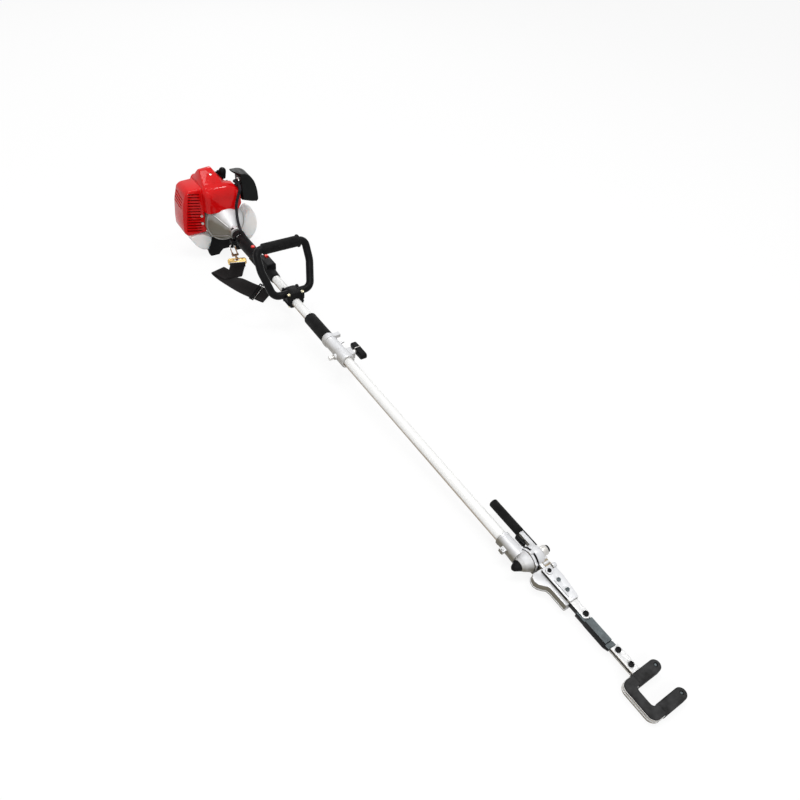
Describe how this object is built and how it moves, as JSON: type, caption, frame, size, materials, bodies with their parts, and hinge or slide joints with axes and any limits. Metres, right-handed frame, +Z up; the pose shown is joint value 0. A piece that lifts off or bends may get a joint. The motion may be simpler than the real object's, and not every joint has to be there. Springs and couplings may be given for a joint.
{
  "type": "petrol olive harvester",
  "caption": "Long-pole petrol olive harvester: small engine, loop handle and throttle grip on a tube, and a tilting head that strokes a rubber-faced branch hook.",
  "frame": {"origin": "on the floor under the middle of the engine's stand, on the stand's cross bar", "axes": "+X along the pole from the engine to the hook, +Y to the air filter side, +Z up; the tool rests on its stand and the outer edge of its hook, so the pole slopes down 3.3 degrees towards +X"},
  "size_m": [2.0059, 0.2492, 0.2826],
  "materials": {
    "red_plastic": "glossy moulded red plastic",
    "tank_plastic": "translucent natural plastic",
    "cast_alloy": "die-cast, satin",
    "black_plastic": "matte moulded black plastic",
    "foam": "closed-cell foam",
    "tube": "drawn tube, satin",
    "black_metal": "black coated",
    "grey_block": "dark grey coated",
    "steel": "bright steel",
    "zinc": "yellow zinc plated",
    "brass": "cast brass",
    "rubber": "moulded rubber",
    "webbing": "woven webbing",
    "red_button": "moulded red plastic"
  },
  "bodies": {
    "tool": {"crankcase": "cast_alloy", "cylinder": "cast_alloy", "clutch_housing": "cast_alloy", "cylinder_shroud": "red_plastic", "muffler_cover": "red_plastic", "muffler": "black_metal", "spark_plug": "steel", "plug_cap": "black_plastic", "carburettor": "cast_alloy", "air_filter_cover": "black_plastic", "fuel_tank": "tank_plastic", "tank_stand": "black_plastic", "starter_housing": "red_plastic", "throttle_cable": "rubber", "upper_tube": "tube", "throttle_grip": "black_plastic", "hanger_clamp": "black_metal", "snap_hook": "brass", "strap_buckles": "brass", "strap": "webbing", "handle_clamp_lower": "black_plastic", "handle_clamp_upper": "black_plastic", "fixing_screws": "zinc", "loop_handle": "black_metal", "loop_grip": "foam", "shaft_grip": "foam", "coupling_body": "cast_alloy"},
    "crank": {"crankshaft": "steel", "flywheel": "steel"},
    "piston_body": {"piston": "cast_alloy"},
    "rod": {"connecting_rod": "steel"},
    "pull_grip": {"starter_grip": "black_plastic"},
    "pulley": {"starter_pulley": "black_plastic"},
    "filler_cap": {"fuel_cap": "black_plastic"},
    "choke": {"choke_lever": "black_plastic"},
    "trigger": {"throttle_trigger": "black_plastic"},
    "trigger_lock": {"throttle_lock": "red_button"},
    "switch": {"stop_switch": "red_button"},
    "gate": {"snap_gate": "steel"},
    "knob": {"clamp_knob": "black_plastic"},
    "pin": {"lock_pin": "steel"},
    "upper_drive": {"upper_drive_shaft": "steel"},
    "lower_pole": {"lower_tube": "tube", "gear_case": "cast_alloy", "nose_cap": "black_plastic"},
    "lower_drive": {"lower_drive_shaft": "steel"},
    "idler": {"idler_gear": "steel"},
    "head": {"head_case": "cast_alloy", "lever_grip": "foam", "head_cover": "cast_alloy", "head_screws": "zinc"},
    "latch": {"tilt_latch": "black_metal"},
    "head_drive": {"head_shaft": "steel"},
    "crank_wheel": {"crank_gear": "steel"},
    "slider": {"slide_bars": "steel", "drive_block": "grey_block", "hook_plates": "steel", "hook_pads": "rubber", "hook_bolts": "black_metal"},
    "link_arm": {"link": "steel"}
  },
  "joints": [
    {"name": "crank_spin", "type": "hinge", "parent": "tool", "child": "crank", "pos_m": [-0.01509, 0, 0.11974], "axis": [0.9983, 0, -0.0579], "continuous": true},
    {"name": "piston_stroke", "type": "slide", "parent": "tool", "child": "piston_body", "axis": [0.0579, 0, 0.9983], "range_m": [-0.028, 0]},
    {"name": "rod_swing", "type": "hinge", "parent": "piston_body", "child": "rod", "pos_m": [-0.0108, 0, 0.19362], "axis": [0.9983, 0, -0.0579], "range_deg": [-13, 13]},
    {"name": "starter_pull", "type": "slide", "parent": "tool", "child": "pull_grip", "axis": [0, 1, 0], "range_m": [0, 0.08], "stiffness_N_per_m": 60, "springref_m": -0.05},
    {"name": "pulley_spin", "type": "hinge", "parent": "tool", "child": "pulley", "pos_m": [-0.07699, 0, 0.12333], "axis": [0.9983, 0, -0.0579], "range_deg": [-209, 0]},
    {"name": "cap_turn", "type": "hinge", "parent": "tool", "child": "filler_cap", "pos_m": [-0.02305, 0.092, 0.08615], "axis": [0.9983, 0, -0.0579], "range_deg": [0, 270]},
    {"name": "choke_swing", "type": "hinge", "parent": "tool", "child": "choke", "pos_m": [-0.03323, 0.052, 0.18691], "axis": [0.9983, 0, -0.0579], "range_deg": [-60, 0]},
    {"name": "trigger_squeeze", "type": "hinge", "parent": "tool", "child": "trigger", "pos_m": [0.37686, 0, 0.07297], "axis": [0, 1, 0], "range_deg": [0, 9], "stiffness_Nm_per_rad": 0.6, "springref_deg": -8.59},
    {"name": "lock_press", "type": "slide", "parent": "tool", "child": "trigger_lock", "axis": [0.0579, 0, 0.9983], "range_m": [-0.0015, 0], "stiffness_N_per_m": 300, "springref_m": 0.002},
    {"name": "switch_slide", "type": "slide", "parent": "tool", "child": "switch", "axis": [0.9983, 0, -0.0579], "range_m": [0, 0.005]},
    {"name": "gate_swing", "type": "hinge", "parent": "tool", "child": "gate", "pos_m": [0.17538, -0.033, 0.06393], "axis": [0.7005, 0, 0.7136], "range_deg": [-25, 0], "stiffness_Nm_per_rad": 0.02, "springref_deg": 17.19},
    {"name": "knob_turn", "type": "hinge", "parent": "tool", "child": "knob", "pos_m": [0.8215, 0.04, 0.07121], "axis": [0, 1, 0], "range_deg": [-90, 90]},
    {"name": "pin_pull", "type": "slide", "parent": "tool", "child": "pin", "axis": [0, -1, 0], "range_m": [0, 0.006], "stiffness_N_per_m": 300, "springref_m": -0.004},
    {"name": "drive_spin", "type": "hinge", "parent": "tool", "child": "upper_drive", "pos_m": [0.44414, 0, 0.0931], "axis": [0.9983, 0, -0.0579], "continuous": true},
    {"name": "pole_slide", "type": "slide", "parent": "tool", "child": "lower_pole", "axis": [0.9983, 0, -0.0579], "range_m": [0, 0.07]},
    {"name": "lower_drive_spin", "type": "hinge", "parent": "lower_pole", "child": "lower_drive", "pos_m": [1.14296, 0, 0.05256], "axis": [0.9983, 0, -0.0579], "continuous": true},
    {"name": "idler_spin", "type": "hinge", "parent": "lower_pole", "child": "idler", "pos_m": [1.54529, 0, 0.02922], "axis": [0, 1, 0], "continuous": true},
    {"name": "head_tilt", "type": "hinge", "parent": "lower_pole", "child": "head", "pos_m": [1.54529, 0, 0.02922], "axis": [0, 1, 0], "range_deg": [-90, 90]},
    {"name": "latch_press", "type": "hinge", "parent": "head", "child": "latch", "pos_m": [1.50647, 0.028, 0.03347], "axis": [0, 1, 0], "range_deg": [0, 10], "stiffness_Nm_per_rad": 0.05, "springref_deg": -11.46},
    {"name": "head_drive_spin", "type": "hinge", "parent": "head", "child": "head_drive", "pos_m": [1.57224, 0.033, 0.02766], "axis": [0.9983, 0, -0.0579], "continuous": true},
    {"name": "crank_wheel_spin", "type": "hinge", "parent": "head", "child": "crank_wheel", "pos_m": [1.5992, 0.018, 0.02609], "axis": [0.0579, 0, 0.9983], "continuous": true},
    {"name": "hook_stroke", "type": "slide", "parent": "head", "child": "slider", "axis": [0.9983, 0, -0.0579], "range_m": [0, 0.018]},
    {"name": "link_swing", "type": "hinge", "parent": "slider", "child": "link_arm", "pos_m": [1.63162, 0.018, 0.0152], "axis": [0.0579, 0, 0.9983], "range_deg": [-12.4, 12.4]}
  ],
  "couplings": [
    {"joint": "pulley_spin", "follows": "starter_pull", "rad_per_m": -45.455},
    {"joint": "lower_drive_spin", "follows": "drive_spin", "ratio": 1},
    {"joint": "idler_spin", "follows": "drive_spin", "ratio": -1},
    {"joint": "head_drive_spin", "follows": "drive_spin", "ratio": -1},
    {"joint": "crank_wheel_spin", "follows": "drive_spin", "ratio": 0.33333}
  ]
}
